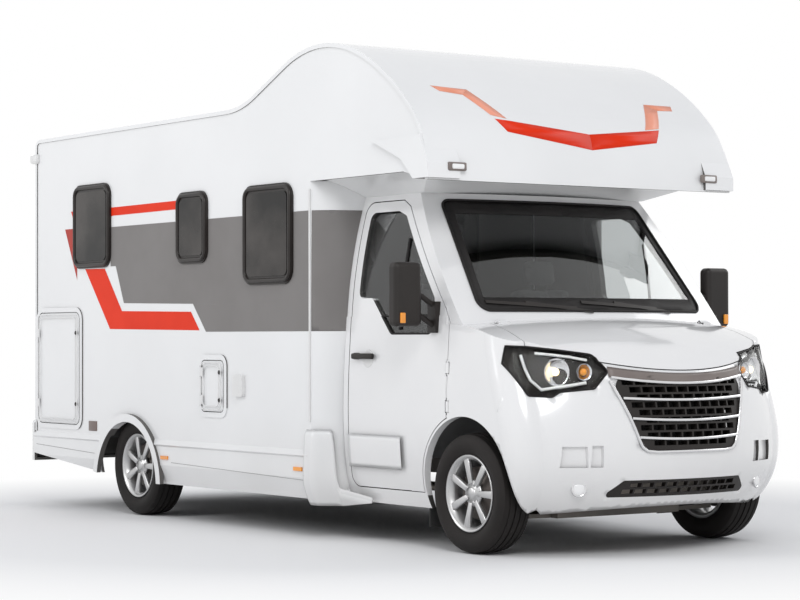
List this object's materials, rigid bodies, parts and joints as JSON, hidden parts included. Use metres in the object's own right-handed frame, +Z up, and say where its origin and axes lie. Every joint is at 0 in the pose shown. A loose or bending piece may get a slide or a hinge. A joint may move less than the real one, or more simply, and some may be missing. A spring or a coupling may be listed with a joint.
{
  "type": "camper van",
  "caption": "Coachbuilt camper van with an overcab bed, opening cab doors, bonnet, entry door, lockers and roof hatch, and steered rolling wheels.",
  "frame": {"origin": "on the ground, under the middle of the vehicle's length and width", "axes": "X forward, Y to the vehicle's left, Z up"},
  "size_m": [6.0411, 2.57, 3.0039],
  "materials": {
    "body_white": "glossy white paint",
    "glass_clear": "clear safety glass",
    "glass_tint": "tinted acrylic",
    "lamp_clear": "clear lamp lens",
    "lamp_red": "red lamp lens",
    "lamp_amber": "amber lamp lens",
    "trim_black": "satin black plastic",
    "frame_brown": "satin brown-black plastic",
    "seat_cloth": "woven cloth",
    "floor_grey": "vinyl floor",
    "chassis_steel": "black chassis paint",
    "engine_metal": "cast aluminium",
    "tank_plastic": "moulded plastic",
    "flap_rubber": "moulded rubber",
    "tyre": "tyre rubber",
    "alloy": "silver alloy"
  },
  "bodies": {
    "coach": {"front_bumper": "body_white", "front_wings": "body_white", "cab_shell": "body_white", "roof_panel": "body_white", "rear_wall": "body_white", "edge_rails": "body_white", "alcove_underside": "body_white", "side_wall_right": "body_white", "side_wall_left": "body_white", "cab_fairings": "body_white", "skirt_right": "body_white", "skirt_left": "body_white", "rear_bumper": "body_white", "alcove_corners": "body_white", "windscreen": "glass_clear", "window_panes": "glass_tint", "headlamps": "lamp_clear", "rear_lamps": "lamp_red", "marker_lamps": "lamp_amber", "grille": "trim_black", "wipers": "trim_black", "dashboard": "trim_black", "steering_wheel": "trim_black", "window_frames": "frame_brown", "cab_seats": "seat_cloth", "cab_floor": "floor_grey", "floor_panel": "floor_grey", "chassis_frame": "chassis_steel", "strut_towers": "chassis_steel", "front_subframe": "chassis_steel", "front_struts": "chassis_steel", "rear_axle": "chassis_steel", "exhaust": "chassis_steel", "engine_block": "engine_metal", "tanks": "tank_plastic", "power_inlet": "tank_plastic", "mudflaps": "flap_rubber"},
    "bonnet": {"bonnet": "body_white"},
    "cab_door_right": {"cab_door_right": "body_white", "door_glass_right": "glass_clear", "mirror_right": "trim_black"},
    "cab_door_left": {"cab_door_left": "body_white", "door_glass_left": "glass_clear", "mirror_left": "trim_black"},
    "garage_door": {"garage_door": "body_white"},
    "toilet_hatch": {"toilet_hatch": "body_white"},
    "entry_door": {"entry_door": "body_white"},
    "roof_hatch": {"roof_hatch": "glass_tint"},
    "knuckle_right": {"knuckle_right": "chassis_steel"},
    "knuckle_left": {"knuckle_left": "chassis_steel"},
    "wheel_front_right": {"tyre_front_right": "tyre", "rim_front_right": "alloy"},
    "wheel_front_left": {"tyre_front_left": "tyre", "rim_front_left": "alloy"},
    "wheel_rear_right": {"tyre_rear_right": "tyre", "rim_rear_right": "alloy"},
    "wheel_rear_left": {"tyre_rear_left": "tyre", "rim_rear_left": "alloy"}
  },
  "joints": [
    {"name": "steer_right", "type": "hinge", "parent": "coach", "child": "knuckle_right", "pos_m": [2.215, -0.8, 0.23], "axis": [0, 0.2087, 0.978], "range_deg": [-36, 36]},
    {"name": "steer_left", "type": "hinge", "parent": "coach", "child": "knuckle_left", "pos_m": [2.215, 0.8, 0.23], "axis": [0, -0.2087, 0.978], "range_deg": [-36, 36]},
    {"name": "wheel_front_right_spin", "type": "hinge", "parent": "knuckle_right", "child": "wheel_front_right", "pos_m": [2.215, -0.875, 0.342], "axis": [0, 1, 0], "continuous": true},
    {"name": "wheel_front_left_spin", "type": "hinge", "parent": "knuckle_left", "child": "wheel_front_left", "pos_m": [2.215, 0.875, 0.342], "axis": [0, 1, 0], "continuous": true},
    {"name": "wheel_rear_right_spin", "type": "hinge", "parent": "coach", "child": "wheel_rear_right", "pos_m": [-1.467, -0.99, 0.342], "axis": [0, 1, 0], "continuous": true},
    {"name": "wheel_rear_left_spin", "type": "hinge", "parent": "coach", "child": "wheel_rear_left", "pos_m": [-1.467, 0.99, 0.342], "axis": [0, 1, 0], "continuous": true},
    {"name": "cab_door_right_hinge", "type": "hinge", "parent": "coach", "child": "cab_door_right", "pos_m": [2.063, -1.004, 0.9], "axis": [0, 0, 1], "range_deg": [0, 70]},
    {"name": "cab_door_left_hinge", "type": "hinge", "parent": "coach", "child": "cab_door_left", "pos_m": [2.063, 1.004, 0.9], "axis": [0, 0, -1], "range_deg": [0, 70]},
    {"name": "bonnet_hinge", "type": "hinge", "parent": "coach", "child": "bonnet", "pos_m": [2.25771, 0, 1.31], "axis": [0, -1, 0], "range_deg": [0, 55]},
    {"name": "garage_hinge", "type": "hinge", "parent": "coach", "child": "garage_door", "pos_m": [-2.852, -1.159, 1], "axis": [0, 0, -1], "range_deg": [0, 90]},
    {"name": "toilet_hinge", "type": "hinge", "parent": "coach", "child": "toilet_hatch", "pos_m": [-0.462, -1.159, 0.9], "axis": [0, 0, -1], "range_deg": [0, 95]},
    {"name": "entry_hinge", "type": "hinge", "parent": "coach", "child": "entry_door", "pos_m": [0.702, 1.159, 1.4], "axis": [0, 0, -1], "range_deg": [0, 110]},
    {"name": "roof_hatch_hinge", "type": "hinge", "parent": "coach", "child": "roof_hatch", "pos_m": [-1.307, 0, 2.754], "axis": [0, -1, 0], "range_deg": [0, 60]}
  ],
  "couplings": [
    {"joint": "steer_left", "follows": "steer_right", "ratio": 1}
  ]
}
